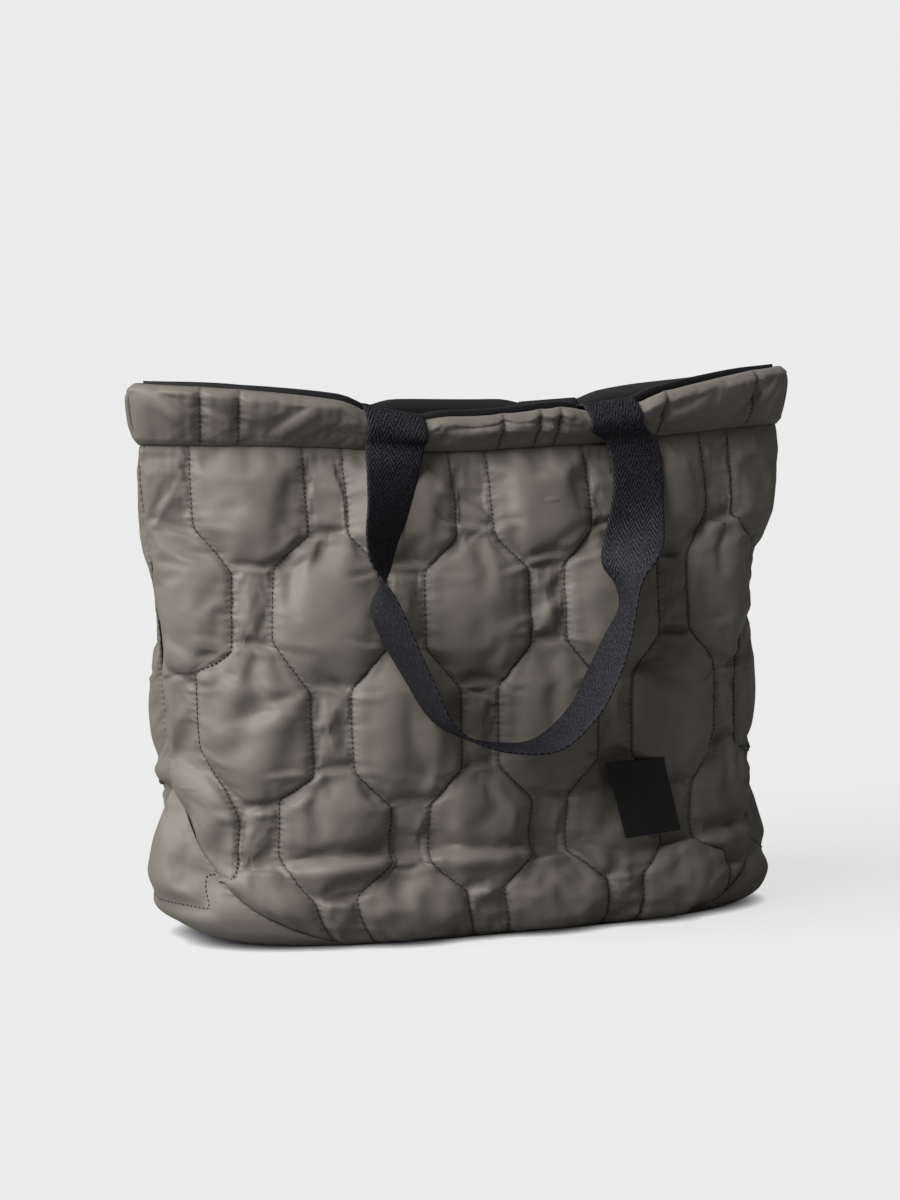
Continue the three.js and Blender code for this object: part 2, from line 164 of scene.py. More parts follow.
# The band's swelling outwards, from its seam (0) to the rim (1).
BandRow = namedtuple("BandRow", "height bulge")
BAND_PROFILE = [
    BandRow(0.0, 0.0),
    BandRow(0.1, 0.42),
    BandRow(0.35, 0.8),
    BandRow(0.62, 1.14),
    BandRow(0.86, 1.17),
    BandRow(0.95, 0.98),
    BandRow(1.0, 0.4),
]

# Sag of the rim between the left seam (-1) and the right (1).
RimDip = namedtuple("RimDip", "along front back")
RIM_DIPS = [
    RimDip(-1, 0, 0),
    RimDip(-0.72, 0.14, 0.2),
    RimDip(-0.48, 0.42, 0.52),
    RimDip(-0.3, 0.84, 0.82),
    RimDip(-0.1, 1, 0.9),
    RimDip(0.15, 0.82, 0.97),
    RimDip(0.38, 0.68, 0.9),
    RimDip(0.58, 0.32, 0.6),
    RimDip(0.8, 0.06, 0.35),
    RimDip(1, 0, 0),
]

# The hanging stretch of a handle: stand is in strap widths from the swollen cloth, and turn
# how far the strap's face has turned in degrees.
Hang = namedtuple("Hang", "along height stand turn")
HANDLE_HANG = [
    Hang(-0.322, 0.88, 0.09, 4),
    Hang(-0.339, 0.83, 0.19, 19),
    Hang(-0.365, 0.762, 0.29, 36),
    Hang(-0.394, 0.704, 0.4, 49),
    Hang(-0.401, 0.66, 0.46, 62),
    Hang(-0.397, 0.605, 0.51, 100),
    Hang(-0.367, 0.553, 0.52, 104),
    Hang(-0.318, 0.489, 0.53, 100),
    Hang(-0.249, 0.407, 0.53, 92),
    Hang(-0.163, 0.374, 0.53, 90),
    Hang(-0.076, 0.361, 0.53, 90),
    Hang(0.032, 0.363, 0.53, 90),
    Hang(0.138, 0.415, 0.53, 90),
    Hang(0.198, 0.482, 0.53, 90),
    Hang(0.237, 0.535, 0.53, 84),
    Hang(0.271, 0.583, 0.52, 74),
    Hang(0.281, 0.622, 0.5, 84),
    Hang(0.3, 0.66, 0.41, 125),
    Hang(0.334, 0.7, 0.23, 156),
    Hang(0.36, 0.742, 0.14, 174),
    Hang(0.38, 0.8, 0.1, 180),
    Hang(0.378, 0.87, 0.09, 180),
]

# Creases pressed into the cloth: places as shares, then the real length, the slope in degrees,
# the depth, the width and how far the crease bows up in the middle.
Crease = namedtuple("Crease", "along height length slope depth width bow")
FRONT_FOLDS = [
    Crease(-0.4, 0.152, 0.19, 2, 0.0075, 0.0042, 0.007),
    Crease(0.12, 0.15, 0.09, -9, 0.0055, 0.0038, 0.004),
    Crease(0.6, 0.138, 0.16, 6, 0.0065, 0.004, 0.006),
    Crease(-0.86, 0.3, 0.07, -28, 0.0034, 0.005, 0.003),
    Crease(0.9, 0.3, 0.06, 24, 0.0034, 0.005, 0.003),
    Crease(-0.82, 0.52, 0.075, -30, 0.0026, 0.0045, -0.003),
    Crease(-0.7, 0.42, 0.06, 14, 0.002, 0.004, 0.002),
    Crease(-0.62, 0.75, 0.06, -34, 0.0024, 0.0045, 0.003),
    Crease(-0.12, 0.79, 0.07, -36, 0.0024, 0.0045, 0.003),
    Crease(0.05, 0.6, 0.06, 20, 0.002, 0.004, -0.003),
    Crease(0.45, 0.45, 0.06, -24, 0.0024, 0.0045, 0.003),
    Crease(0.6, 0.7, 0.07, 30, 0.0024, 0.0045, 0.003),
    Crease(-0.25, 0.3, 0.06, -16, 0.0022, 0.004, 0.002),
    Crease(0.25, 0.28, 0.055, 18, 0.0022, 0.004, -0.002),
]
BAND_FOLDS = [
    Crease(-0.88, 0.955, 0.05, -38, 0.003, 0.0035, 0.002),
    Crease(-0.76, 0.94, 0.045, -30, 0.0026, 0.0035, 0.002),
    Crease(-0.6, 0.945, 0.04, 40, 0.002, 0.003, 0.002),
    Crease(-0.05, 0.93, 0.06, 6, 0.0022, 0.0035, 0.001),
    Crease(0.14, 0.925, 0.05, -12, 0.0022, 0.003, 0.001),
    Crease(0.55, 0.945, 0.05, 26, 0.0022, 0.0035, 0.002),
    Crease(0.85, 0.95, 0.05, 40, 0.0026, 0.0035, 0.002),
]
CREASES_AT_A_CORNER = 2

# Puckers: how far they reach from a stitched line and from a hem, and the pitch of the small ones
# across the thread, which are too fine for the mesh.
PUCKER_REACH = 0.0055
HEM_REACH = 0.009
PUCKER_PITCH = 0.004

# Finishes: the reach of the painted shade along a groove, and the columns and ribs of the webbing's
# herringbone.
GROOVE_SHADE_REACH = 0.0018
WEAVE_COLUMN = 0.005
WEAVE_PITCH = 0.0044

# Samples of the wall, and the fineness of the cloth.
WALL_LEVELS = 241
WALL_PLACES = 481
LINING_DEPTH = 0.008
CHANNEL_COLUMNS = 14
PANEL_ROWS = 84
BAND_COLUMNS = 236
BAND_ROWS = 20
BASE_END_COLUMNS = 26
BASE_FLOOR_COLUMNS = 20
BASE_ROWS = 44
LINING_COLUMNS = 160
LINING_ROWS = 60
STRAP_COLUMNS = 12
STRAP_ROWS = 260

# Studio: the tone that the camera sees behind the tote, the light all round it, the even part of
# the floor's tone, and the reach of the painted contact shadow under the tote.
BACKDROP_TONE = 0.831
AMBIENT = 0.09
FLOOR_GLOW = 0.705
FLOOR_BOUNCE = 0.24
CONTACT_SHADOW_REACH = 0.01


def soft_length(name, description, default):
    return bpy.props.FloatProperty(name=name, description=description, default=default, unit="LENGTH")


def cloth_colour(name, description, default):
    return bpy.props.FloatVectorProperty(
        name=name, description=description, default=default, subtype="COLOR"
    )


class ToteSizes(bpy.types.PropertyGroup):
    """Sizes that give the tote its softness"""

    puff: soft_length("Padding", "How far a wide quilted channel swells", 0.009)
    band_puff: soft_length("Band padding", "How far the rim band swells", 0.01)
    base_puff: soft_length("Base padding", "How far the upturned ends of the base swell", 0.016)
    pucker: soft_length("Pucker", "How far the cloth puckers beside its stitches", 0.001)
    stitch_length: soft_length("Stitch length", "Length of one stitch with the gap after it", 0.003)
    thread: soft_length("Thread", "Thickness of the sewing thread", 0.00075)


class ToteColours(bpy.types.PropertyGroup):
    """Colours of the tote and of the floor under it"""

    shell: cloth_colour("Shell", "Padded nylon", (0.2, 0.181, 0.153))
    lining: cloth_colour("Lining", "Inner cloth", (0.012, 0.012, 0.013))
    webbing: cloth_colour("Webbing", "Handle straps", (0.0155, 0.0155, 0.0195))
    label: cloth_colour("Label", "Bare patch", (0.01, 0.01, 0.011))
    thread: cloth_colour("Thread", "Sewing thread", (0.03, 0.028, 0.026))
    floor: cloth_colour("Floor", "Plain pale floor", (0.13, 0.13, 0.13))


def column_at(rows, key, column, places):
    """A column of a table at some places along it, on a smooth curve through the rows."""
    at = np.array([getattr(row, key) for row in rows], float)
    value = np.array([getattr(row, column) for row in rows], float)
    ends = np.arange(len(rows))
    before = np.maximum(ends - 1, 0)
    after = np.minimum(ends + 1, len(rows) - 1)
    slope = (value[after] - value[before]) / (at[after] - at[before])
    places = np.clip(places, at[0], at[-1])
    i = np.clip(np.searchsorted(at, places) - 1, 0, len(rows) - 2)
    span = at[i + 1] - at[i]
    s = (places - at[i]) / span
    ease = s * s * (3 - 2 * s)
    bend = span * s * (1 - s) * ((1 - s) * slope[i] - s * slope[i + 1])
    return value[i] + (value[i + 1] - value[i]) * ease + bend


def smoothstep(value, low, high):
    s = np.clip((value - low) / (high - low), 0, 1)
    return s * s * (3 - 2 * s)


def mix(a, b, share):
    return a + (b - a) * share


def wall_samples(side, depth):
    """The wall of one side, inset by depth: x and y at even levels and even places along it."""
    turn = (np.linspace(0, 1, 2 * WALL_PLACES) - 0.5) * math.pi
    rows = []
    for z in np.linspace(0, RIM_HEIGHT, WALL_LEVELS):
        at = {name: column_at(SECTIONS, "height", name, z / RIM_HEIGHT) for name in Section._fields[1:]}
        half_width = mix(BODY_WIDTH, RIM_WIDTH, at["flare"]) / 2 - depth
        share = at["front"] if side < 0 else at["back"]
        half_depth = share * mix(BODY_DEPTH, MOUTH_DEPTH, at["gather"]) / 2 - depth
        across = np.sign(turn) * np.abs(np.sin(turn)) ** (2 / at["bow"])
        outward = np.abs(np.cos(turn)) ** (2 / at["swell"])
        x = BODY_WIDTH * at["shift"] + half_width * across
        y = side * half_depth * outward
        run = np.concatenate([[0], np.cumsum(np.hypot(np.diff(x), np.diff(y)))])
        even = np.linspace(0, run[-1], WALL_PLACES)
        rows.append(np.stack([np.interp(even, run, x), np.interp(even, run, y)], axis=1))
    return np.array(rows)


SAMPLES = {
    (side, depth): wall_samples(side, depth)
    for side in (-1, 1)
    for depth in (0, LINING_DEPTH)
}


def read_samples(samples, along, z):
    """Read a table of wall samples between its levels and places."""
    row = np.clip(z / RIM_HEIGHT, 0, 1) * (WALL_LEVELS - 1)
    place = (np.clip(along, -1, 1) + 1) / 2 * (WALL_PLACES - 1)
    r = np.minimum(row.astype(int), WALL_LEVELS - 2)
    p = np.minimum(place.astype(int), WALL_PLACES - 2)
    up = (row - r)[:, None]
    right = (place - p)[:, None]
    low = mix(samples[r, p], samples[r, p + 1], right)
    high = mix(samples[r + 1, p], samples[r + 1, p + 1], right)
    return mix(low, high, up)


def wall_points(side, along, z, depth=0.0):
    """Points of the wall. along goes from the left seam (-1) to the right (1) by length."""
    along = np.asarray(along, float)
    z = np.broadcast_to(np.asarray(z, float), along.shape)
    share = np.broadcast_to(np.asarray(depth, float), along.shape)[:, None] / LINING_DEPTH
    outer = read_samples(SAMPLES[side, 0], along, z)
    inner = read_samples(SAMPLES[side, LINING_DEPTH], along, z)
    flat = mix(outer, inner, share)
    return np.column_stack([flat[:, 0], flat[:, 1] + SEAM_PLANE, z])


def wall_normals(side, along, z):
    """The outward direction of the stitched surface."""
    step = 0.01
    rise = 0.002
    inner = np.clip(along, step - 1, 1 - step)
    z = np.broadcast_to(np.asarray(z, float), inner.shape)
    across = wall_points(side, inner + step, z) - wall_points(side, inner - step, z)
    upward = wall_points(side, inner, z + rise) - wall_points(side, inner, z - rise)
    normal = -side * np.cross(across, upward)
    normal[:, 1] *= smoothstep(1 - np.abs(along), 0, 0.04)
    return normal / np.linalg.norm(normal, axis=1, keepdims=True)


def base_seam_height(along):
    run = (1 - np.abs(along)) * PANEL_WIDTH / 2
    return BASE_RISE * np.maximum(0, 1 - run / BASE_REACH) ** BASE_CURVE


def rim_dip(side, along):
    return column_at(RIM_DIPS, "along", "front" if side < 0 else "back", along)


def band_seam_height(side, along):
    return SEAM_HEIGHT - BAND_SAG * rim_dip(side, along)


def rim_level(side, along):
    """The rim's height. Each strap pulls it down a little where it folds over."""
    level = RIM_HEIGHT - RIM_SAG * rim_dip(side, along)
    for place in HANDLE_PLACES:
        away = (np.asarray(along) - place) * PANEL_WIDTH / 2 / FOLD_REACH
        level = level - FOLD_DIP * np.exp(-away**4)
    return level


def quilt_line(line, z):
    """A stitched line's place along the panel at a height. The side seams stay straight."""
    heights = [row.height for row in QUILT_LEVELS]
    leans = [row.lean for row in QUILT_LEVELS]
    lean = np.interp(z / RIM_HEIGHT, heights, leans)
    swing = np.where(line % 2 == 1, -1, 1) * lean * QUILT_SWING
    place = 2 * (QUILT_EDGE + (line - 1) * QUILT_PITCH + swing) / PANEL_WIDTH - 1
    return np.where(line == 0, -1, np.where(line == CHANNELS, 1, place))


def bent_grid(name, columns, rows, place, weld=0.0):
    """A grid bent to a surface. place gives the points and named values from across and up."""
    bm = bmesh.new()
    bmesh.ops.create_grid(bm, x_segments=columns, y_segments=rows, size=0.5)
    across = np.array([vertex.co.x + 0.5 for vertex in bm.verts])
    up = np.array([vertex.co.y + 0.5 for vertex in bm.verts])
    points, values = place(across, up)
    layers = {key: bm.verts.layers.float.new(key) for key in values}
    for i, vertex in enumerate(bm.verts):
        vertex.co = points[i]
        for key, layer in layers.items():
            vertex[layer] = values[key][i]
    if weld:
        bmesh.ops.remove_doubles(bm, verts=bm.verts, dist=weld)
        bmesh.ops.recalc_face_normals(bm, faces=bm.faces)
    return add_piece(name, bm)


def add_piece(name, bm):
    """A finished bmesh as a smooth object of the scene."""
    for face in bm.faces:
        face.smooth = True
    mesh = bpy.data.meshes.new(name)
    bm.normal_update()
    bm.to_mesh(mesh)
    bm.free()
    piece = bpy.data.objects.new(name, mesh)
    bpy.context.scene.collection.objects.link(piece)
    return piece


def finish_piece(piece, material, slot, *nodes):
    """Give a piece its finish and its body, and hide the solids that it stands for."""
    piece.data.materials.clear()
    piece.data.materials.append(material)
    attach(piece, "root")
    if nodes:
        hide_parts(*nodes)


def values_of(piece, key):
    values = np.zeros(len(piece.data.vertices), np.float32)
    piece.data.attributes[key].data.foreach_get("value", values)
    return values


def points_of(piece):
    points = np.zeros(len(piece.data.vertices) * 3)
    piece.data.vertices.foreach_get("co", points)
    return points.reshape(-1, 3)


def normals_of(piece):
    normals = np.zeros(len(piece.data.vertices) * 3)
    piece.data.vertices.foreach_get("normal", normals)
    return normals.reshape(-1, 3)


def fill_padding(pieces, pressure, slack, frames=18, cap=0.012):
    """Blow padded pieces up between their stitches, all at once, with the Cloth solver."""
    starts = {}
    for piece in pieces:
        starts[piece.name] = points_of(piece)
        pins = piece.vertex_groups.new(name="stitched")
        for i in np.flatnonzero(values_of(piece, "held") > 0.5):
            pins.add([int(i)], 1.0, "REPLACE")
        cloth = piece.modifiers.new("Padding", "CLOTH")
        cloth.settings.quality = 5
        cloth.settings.mass = 0.15
        cloth.settings.tension_stiffness = 15
        cloth.settings.compression_stiffness = 15
        cloth.settings.shear_stiffness = 5
        cloth.settings.bending_stiffness = 0.05
        cloth.settings.use_pressure = True
        cloth.settings.uniform_pressure_force = pressure
        cloth.settings.shrink_min = -slack
        cloth.settings.effector_weights.gravity = 0
        cloth.settings.vertex_group_mass = "stitched"
        cloth.collision_settings.use_collision = False
        cloth.point_cache.frame_start = 1
        cloth.point_cache.frame_end = frames
    for step in range(1, frames + 1):
        bpy.context.scene.frame_set(step)
    solved = bpy.context.evaluated_depsgraph_get()
    for piece in pieces:
        move = points_of(piece.evaluated_get(solved)) - starts[piece.name]
        far = np.linalg.norm(move, axis=1, keepdims=True)
        move *= np.minimum(1, cap / np.maximum(far, 1e-9))
        piece.modifiers.clear()
        piece.data.vertices.foreach_set("co", (starts[piece.name] + move).ravel())
        piece.data.update()
    bpy.context.scene.frame_set(1)


def thicken(piece, thickness, levels=1, offset=-1.0):
    """Give a sheet of cloth its wall, then round it."""
    wall = piece.modifiers.new("Wall", "SOLIDIFY")
    wall.thickness = thickness
    wall.offset = offset
    if levels:
        smooth = piece.modifiers.new("Smooth", "SUBSURF")
        smooth.levels = levels
        smooth.render_levels = levels


def ripples(follow, line, seed):
    """Uneven waves along a seam, different on each line."""
    rng = np.random.default_rng(seed)
    total = np.zeros_like(follow)
    for length, weight in ((0.0062, 0.36), (0.0088, 0.44), (0.0135, 0.4), (0.024, 0.3)):
        phase = rng.uniform(0, 2 * math.pi, 2)
        wave = 2 * math.pi * follow / length
        total += weight * np.sin(wave + phase[0] + 2.4 * line + np.sin(phase[1] + line))
    return total


def crease_depths(run, level, creases):
    """How far creases press the cloth in (below 0) or raise it beside them."""
    total = np.zeros_like(run)
    for each in creases:
        angle = math.radians(each.slope)
        x = run - each.along * PANEL_WIDTH / 2
        y = level - each.height * RIM_HEIGHT
        p = x * math.cos(angle) + y * math.sin(angle)
        reach = np.clip(1 - (2 * p / each.length) ** 2, 0, 1)
        q = y * math.cos(angle) - x * math.sin(angle) - each.bow * reach
        valley = np.exp(-((q / np.where(q > 0, 2.1 * each.width, 0.7 * each.width)) ** 2))
        roll = np.exp(-(((q + 2.2 * each.width) / (1.3 * each.width)) ** 2))
        total += each.depth * reach**0.8 * (0.6 * roll - valley)
    return total


def corner_creases(seed):
    """Short folds across the ends of each neck, and small ones that run into the cells."""
    rng = np.random.default_rng(seed)
    creases = []
    for row in QUILT_LEVELS[1:-1]:
        lines = np.arange(CHANNELS + 1)
        places = quilt_line(lines, np.full(len(lines), row.height * RIM_HEIGHT))
        for line in range(1, CHANNELS):
            width = (places[line + 1] - places[line]) * PANEL_WIDTH / 2
            if width < QUILT_PITCH and line < CHANNELS - 1:
                creases.append(Crease(
                    (places[line] + places[line + 1]) / 2,
                    row.height + rng.uniform(-0.006, 0.006),
                    width * rng.uniform(1.2, 1.7),
                    rng.uniform(-12, 12),
                    rng.uniform(0.0022, 0.0036),
                    rng.uniform(0.0015, 0.0022),
                    rng.uniform(-0.003, 0.003),
                ))
            for _ in range(CREASES_AT_A_CORNER):
                length = rng.uniform(0.014, 0.036)
                slope = rng.uniform(-30, 30)
                way = rng.choice((-1, 1)) * length * 0.45
                if row.height * RIM_HEIGHT < base_seam_height(places[line]) + length / 2:
                    continue
                creases.append(Crease(
                    places[line] + way * math.cos(math.radians(slope)) * 2 / PANEL_WIDTH,
                    row.height + way * math.sin(math.radians(slope)) / RIM_HEIGHT,
                    length,
                    slope,
                    rng.uniform(0.0006, 0.0016),
                    rng.uniform(0.001, 0.0022),
                    rng.uniform(-0.003, 0.003),
                ))
    return creases


def wrinkle(piece, folds, creases, pucker, seed, side=0):
    """Refine filled cloth, then pucker it at its stitches and press the folds into it.

    Beside a stitched groove of a wall, the cloth moves straight in and out of that wall.
    """
    refine = piece.modifiers.new("Refine", "SUBSURF")
    refine.levels = 1
    refine.render_levels = 1
    shown = piece.evaluated_get(bpy.context.evaluated_depsgraph_get())
    finer = bpy.data.meshes.new_from_object(shown)
    piece.modifiers.clear()
    piece.data = finer
    near, edge, line = (values_of(piece, key) for key in ("near", "edge", "line"))
    run = values_of(piece, "along") * PANEL_WIDTH / 2
    level = values_of(piece, "level")
    sides = smoothstep(1 - np.abs(values_of(piece, "along")), 0, 0.1)
    free = smoothstep(near, 0.0002, 0.004)
    calm = smoothstep(edge, 0.001, 0.007)
    alike = np.zeros_like(line)
    beside = ripples(level, line, seed) * np.exp(-near / PUCKER_REACH) * smoothstep(near, 0, 0.0022)
    below = ripples(run, alike, seed + 1) * np.exp(-edge / HEM_REACH)
    across = ripples((run + level) / 3.4, alike, seed + 2)
    across += ripples((run - 1.3 * level) / 4, alike, seed + 3)
    lift = crease_depths(run, level, folds) + crease_depths(run, level, creases) * mix(0.3, 1, free)
    lift += pucker * (beside * mix(0.3, 1, sides) + 0.7 * below + 0.14 * across * free)
    lift *= calm * mix(0.35, 1, sides)
    lift = np.maximum(lift, -0.85 * values_of(piece, "room") - 0.0008)
    ways = normals_of(piece)
    if side:
        straight = wall_normals(side, values_of(piece, "along"), level)
        ways = mix(straight, ways, smoothstep(near, 0.001, 0.012)[:, None])
    moved = points_of(piece) + ways * lift[:, None]
    moved[:, 2] = np.maximum(moved[:, 2], 0)
    finer.vertices.foreach_set("co", moved.ravel())
    finer.shade_smooth()
    finer.update()


def quilted_panel(side, name, puff):
    """A quilted panel whose columns follow the stitched lines."""
    columns = CHANNELS * CHANNEL_COLUMNS

    def place(across, up):
        column = np.rint(across * columns)
        channel = np.minimum(column // CHANNEL_COLUMNS, CHANNELS - 1)
        within = column / CHANNEL_COLUMNS - channel
        ground = base_seam_height(2 * across - 1)
        level = up * SEAM_HEIGHT + ground * (1 - up) ** 1.5
        left = quilt_line(channel, level)
        right = quilt_line(channel + 1, level)
        along = -side * mix(left, right, within)
        width = (right - left) * PANEL_WIDTH / 2
        share = np.clip((level - ground) / (SEAM_HEIGHT - ground), 0, 1)
        z = mix(base_seam_height(along), band_seam_height(side, along), share)
        edge = np.minimum(share, 1 - share) * SEAM_HEIGHT
        fade = np.sqrt(smoothstep(edge, 0, HEM_FADE))
        round_share = np.maximum(np.sin(np.pi * within), 0) ** 0.5
        swell = puff * np.minimum(1, width / WIDEST_CHANNEL) * round_share * fade
        hem = (up < 1e-6) | (up > 1 - 1e-6)
        z = z + np.where(up < 1e-6, -SEAM_TUCK, np.where(up > 1 - 1e-6, SEAM_TUCK, 0))
        swell = np.where(hem, -SEAM_TUCK, swell)
        points = wall_points(side, along, z) + wall_normals(side, along, z) * swell[:, None]
        points[:, 2] = np.maximum(points[:, 2], 0)
        held = (within < 1e-6) | (within > 1 - 1e-6) | hem
        near = np.minimum(within, 1 - within) * width
        line = channel + (within > 0.5)
        room = np.maximum(swell, 0)
        return points, dict(
            held=held, near=near, edge=edge, line=line, along=along, level=z, room=room, order=up
        )

    return bent_grid(name, columns, PANEL_ROWS, place)


def rim_band(side, name, puff):
    """Half of the stuffed rim band."""
    stitches = (2 * np.array(BAND_STITCHES) / PANEL_WIDTH - 1) * -side

    def place(across, up):
        along = -side * (2 * across - 1)
        spacing = 2 / BAND_COLUMNS
        line = np.abs(along[:, None] - stitches[None, :]).argmin(axis=1)
        off = stitches[line] - along
        on_line = np.abs(off) <= spacing / 2
        along = along + np.where(on_line, off, 0)
        near = np.where(on_line, 0, np.abs(off) * PANEL_WIDTH / 2)
        z = mix(band_seam_height(side, along), rim_level(side, along), up)
        fade = mix(0.6, 1, smoothstep(1 - np.abs(along), 0, 0.12))
        pull = mix(BAND_PULL, 1, smoothstep(near, 0, BAND_PULL_REACH) ** 0.5)
        swell = puff * column_at(BAND_PROFILE, "height", "bulge", up) * fade * pull
        points = wall_points(side, along, z) + wall_normals(side, along, z) * swell[:, None]
        held = (up < 1e-6) | (up > 1 - 1e-6) | on_line
        edge = np.minimum(up, 1 - up) * BAND_HEIGHT
        return points, dict(
            held=held, near=near, edge=edge, line=line, along=along, level=z, room=swell, order=up
        )

    return bent_grid(name, BAND_COLUMNS, BAND_ROWS, place)


def base_rim_points(run, end, z):
    """Points of the base's seam, run along it from the middle of an end."""
    along = end * (1 - 2 * np.abs(run) / PANEL_WIDTH)
    front = wall_points(-1, along, z)
    back = wall_points(1, along, z)
    return np.where((run > 0)[:, None], back, front)


def base_stitch_gap(climb, up):
    """How far a place on an end of the base is from its stitched line."""
    place = np.column_stack([up * BODY_DEPTH, climb * BASE_RISE])
    knots = np.array([(each.across * BODY_DEPTH, each.climb * BASE_RISE) for each in BASE_STITCHES])
    gaps = []
    for start, stop in zip(knots[:-1], knots[1:]):
        way = stop - start
        share = np.clip((place - start) @ way / (way @ way), 0, 1)
        gaps.append(np.linalg.norm(place - start - share[:, None] * way, axis=1))
    return np.min(gaps, axis=0)


def base_end_points(end, climb, up, puff):
    """Points of an upturned end: climb goes from the ground (0) to the tip (1)."""
    reach = BASE_REACH * (1 - climb ** (1 / BASE_CURVE))
    points = base_rim_points(reach * (1 - 2 * up), end, BASE_RISE * climb)
    front = np.where(end < 0, up, 1 - up)
    pull = mix(0.62, 1, smoothstep(base_stitch_gap(climb, front), 0, 0.011))
    tall = np.maximum(np.sin(np.pi * climb**0.85), 0) ** 0.6
    swell = puff * np.maximum(np.sin(np.pi * up), 0) ** 0.8 * tall * pull
    points[:, 0] += end * swell
    return points


def base_panel(name, puff):
    """The floor with its two pointed ends that climb the side seams."""
    columns = 2 * BASE_END_COLUMNS + BASE_FLOOR_COLUMNS
    flat = 1 - 2 * BASE_REACH / PANEL_WIDTH

    def place(across, up):
        column = np.rint(across * columns)
        in_end = np.minimum(column, columns - column)
        climb = BASE_TIP * np.clip(1 - in_end / BASE_END_COLUMNS, 0, 1)
        end = np.where(column < columns / 2, -1, 1)
        ends = base_end_points(end, climb, up, puff)
        share = np.clip((column - BASE_END_COLUMNS) / BASE_FLOOR_COLUMNS, 0, 1)
        ground = np.zeros_like(share)
        along = mix(-flat, flat, share)
        floor = mix(wall_points(1, along, ground), wall_points(-1, along, ground), up[:, None])
        for side, weight in ((-1, 1 - share), (1, share)):
            arc = base_end_points(np.full_like(up, side), ground, up, puff)
            first = base_end_points(np.full_like(up, side), ground, np.zeros_like(up), puff)
            last = base_end_points(np.full_like(up, side), ground, np.ones_like(up), puff)
            floor += (arc - mix(first, last, up[:, None])) * weight[:, None]
        points = np.where((in_end < BASE_END_COLUMNS)[:, None], ends, floor)
        held = (up < 1e-6) | (up > 1 - 1e-6) | (in_end >= BASE_END_COLUMNS - 1) | (in_end < 0.5)
        near = np.minimum(up, 1 - up) * BODY_DEPTH
        along = 2 * across - 1
        level = points[:, 2]
        room = np.full_like(up, puff / 2)
        return points, dict(
            held=held, near=near, edge=near, line=up > 0.5, along=along, level=level, room=room
        )

    return bent_grid(name, columns, BASE_ROWS, place)


def inner_bag(name):
    """The lining: one thin bag from the floor to just above the rim."""

    def place(across, up):
        side = np.where(across < 0.5, -1, 1)
        run = np.where(across < 0.5, across, across - 0.5) * 2
        along = np.where(side < 0, 2 * run - 1, 1 - 2 * run)
        share = np.clip((up - 0.2) / 0.8, 0, 1)
        spread = smoothstep(up, -0.2, 0.2) * np.clip(up / 0.2, 0, 1)
        top = np.where(side < 0, rim_level(-1, along), rim_level(1, along)) + 0.0012
        z = mix(BASE_THICKNESS + 0.0007, top, share)
        depth = mix(mix(BASE_THICKNESS, WALL, smoothstep(z, 0, BASE_RISE * 1.15)) + 0.003, WALL + 0.0007,
                    smoothstep(share, 0.9, 0.95))
        front = wall_points(-1, along, z, depth)
        back = wall_points(1, along, z, depth)
        points = np.where((side < 0)[:, None], front, back)
        spread = np.where(up < 0.2, spread, 1)
        points[:, 0] *= spread
        points[:, 1] = SEAM_PLANE + (points[:, 1] - SEAM_PLANE) * spread
        return points, {}

    return bent_grid(name, LINING_COLUMNS, LINING_ROWS, place, weld=0.0002)


def curve_point(points, share, eased):
    """A point and its direction on a Catmull-Rom curve, evened by chord length if eased."""
    last = len(points) - 1
    i = min(int(share * last), last - 1)
    s = share * last - i
    p1 = points[i]
    p2 = points[i + 1]
    p0 = points[i - 1] if i > 0 else 2 * p1 - p2
    p3 = points[i + 2] if i + 2 <= last else 2 * p2 - p1
    if eased:
        d0 = max(math.sqrt(np.linalg.norm(p1 - p0)), 1e-6)
        d1 = max(math.sqrt(np.linalg.norm(p2 - p1)), 1e-6)
        d2 = max(math.sqrt(np.linalg.norm(p3 - p2)), 1e-6)
        t1 = ((p1 - p0) / d0 - (p2 - p0) / (d0 + d1) + (p2 - p1) / d1) * d1
        t2 = ((p2 - p1) / d1 - (p3 - p1) / (d1 + d2) + (p3 - p2) / d2) * d1
    else:
        t1 = (p2 - p0) / 2
        t2 = (p3 - p1) / 2
    c2 = 3 * (p2 - p1) - 2 * t1 - t2
    c3 = 2 * (p1 - p2) + t1 + t2
    return p1 + t1 * s + c2 * s**2 + c3 * s**3, t1 + 2 * c2 * s + 3 * c3 * s**2


